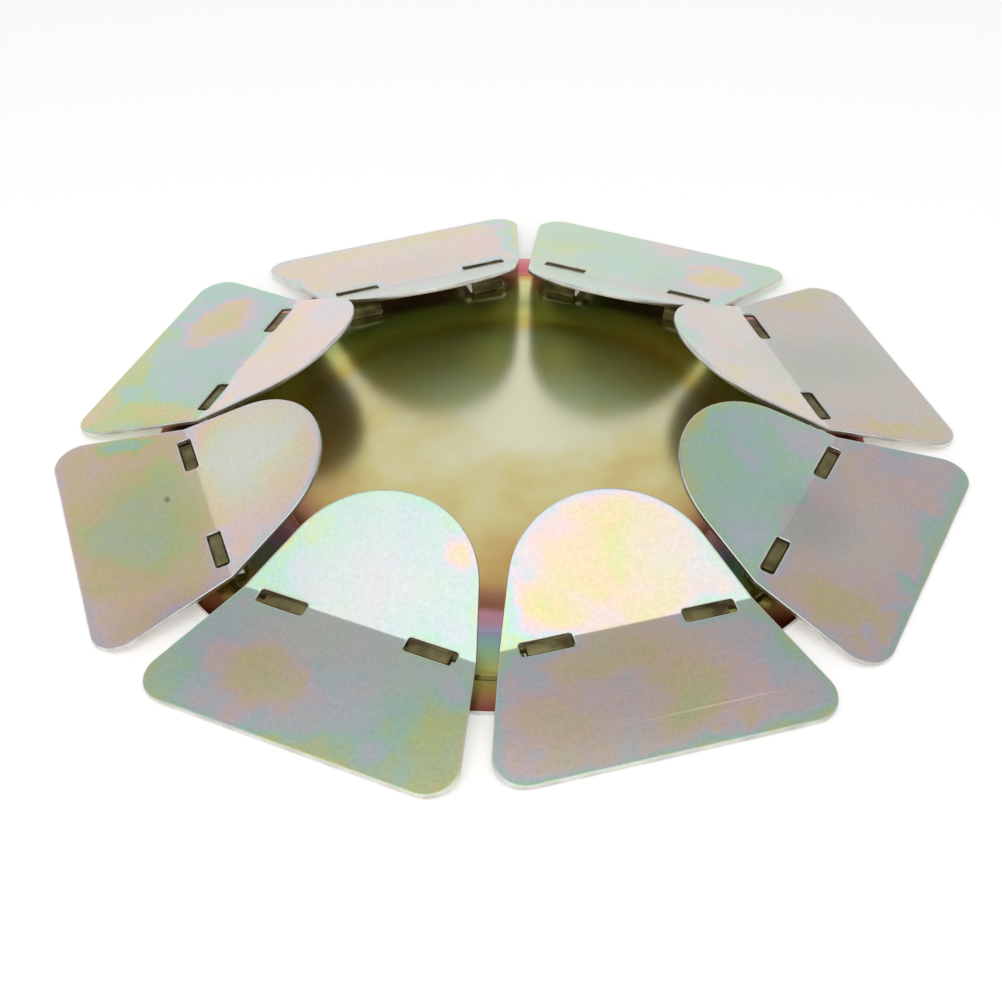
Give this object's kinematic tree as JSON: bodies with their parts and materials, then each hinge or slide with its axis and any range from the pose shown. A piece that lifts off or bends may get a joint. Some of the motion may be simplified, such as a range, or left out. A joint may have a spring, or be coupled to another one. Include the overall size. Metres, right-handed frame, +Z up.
{
  "type": "putting cup",
  "caption": "Folded-steel practice putting cup: a low round plate ringed by bent flaps that tip inwards to let a ball drop in.",
  "frame": {"origin": "centre of the base plate's underside, on the ground", "axes": "+Z up; -Y points to the gap between flap_8 and flap_1, and the flaps are numbered counter-clockwise seen from above"},
  "size_m": [0.1825, 0.1811, 0.018],
  "materials": {
    "plate_steel": "yellow-passivated zinc plate, olive to golden",
    "flap_steel": "iridescent passivated zinc plate, silver-grey with green and pink tints"
  },
  "bodies": {
    "base": {"base_plate": "plate_steel"},
    "flap_1": {"flap_1": "flap_steel"},
    "flap_2": {"flap_2": "flap_steel"},
    "flap_3": {"flap_3": "flap_steel"},
    "flap_4": {"flap_4": "flap_steel"},
    "flap_5": {"flap_5": "flap_steel"},
    "flap_6": {"flap_6": "flap_steel"},
    "flap_7": {"flap_7": "flap_steel"},
    "flap_8": {"flap_8": "flap_steel"}
  },
  "joints": [
    {"name": "flap_1_rock", "type": "hinge", "parent": "base", "child": "flap_1", "pos_m": [0.02379, -0.05477, 0.00482], "axis": [-0.9478, -0.319, 0], "range_deg": [0, 36]},
    {"name": "flap_2_rock", "type": "hinge", "parent": "base", "child": "flap_2", "pos_m": [0.05599, -0.02189, 0.00482], "axis": [-0.4019, -0.9157, 0], "range_deg": [0, 36]},
    {"name": "flap_3_rock", "type": "hinge", "parent": "base", "child": "flap_3", "pos_m": [0.05629, 0.02377, 0.00482], "axis": [0.3371, -0.9415, 0], "range_deg": [0, 36]},
    {"name": "flap_4_rock", "type": "hinge", "parent": "base", "child": "flap_4", "pos_m": [0.02353, 0.05444, 0.00482], "axis": [0.9272, -0.3746, 0], "range_deg": [0, 36]},
    {"name": "flap_5_rock", "type": "hinge", "parent": "base", "child": "flap_5", "pos_m": [-0.02218, 0.05511, 0.00482], "axis": [0.9219, 0.3875, 0], "range_deg": [0, 36]},
    {"name": "flap_6_rock", "type": "hinge", "parent": "base", "child": "flap_6", "pos_m": [-0.05614, 0.02361, 0.00482], "axis": [0.3024, 0.9532, 0], "range_deg": [0, 36]},
    {"name": "flap_7_rock", "type": "hinge", "parent": "base", "child": "flap_7", "pos_m": [-0.05658, -0.02333, 0.00482], "axis": [-0.3746, 0.9272, 0], "range_deg": [0, 36]},
    {"name": "flap_8_rock", "type": "hinge", "parent": "base", "child": "flap_8", "pos_m": [-0.02358, -0.05615, 0.00482], "axis": [-0.9245, 0.3811, 0], "range_deg": [0, 36]}
  ]
}
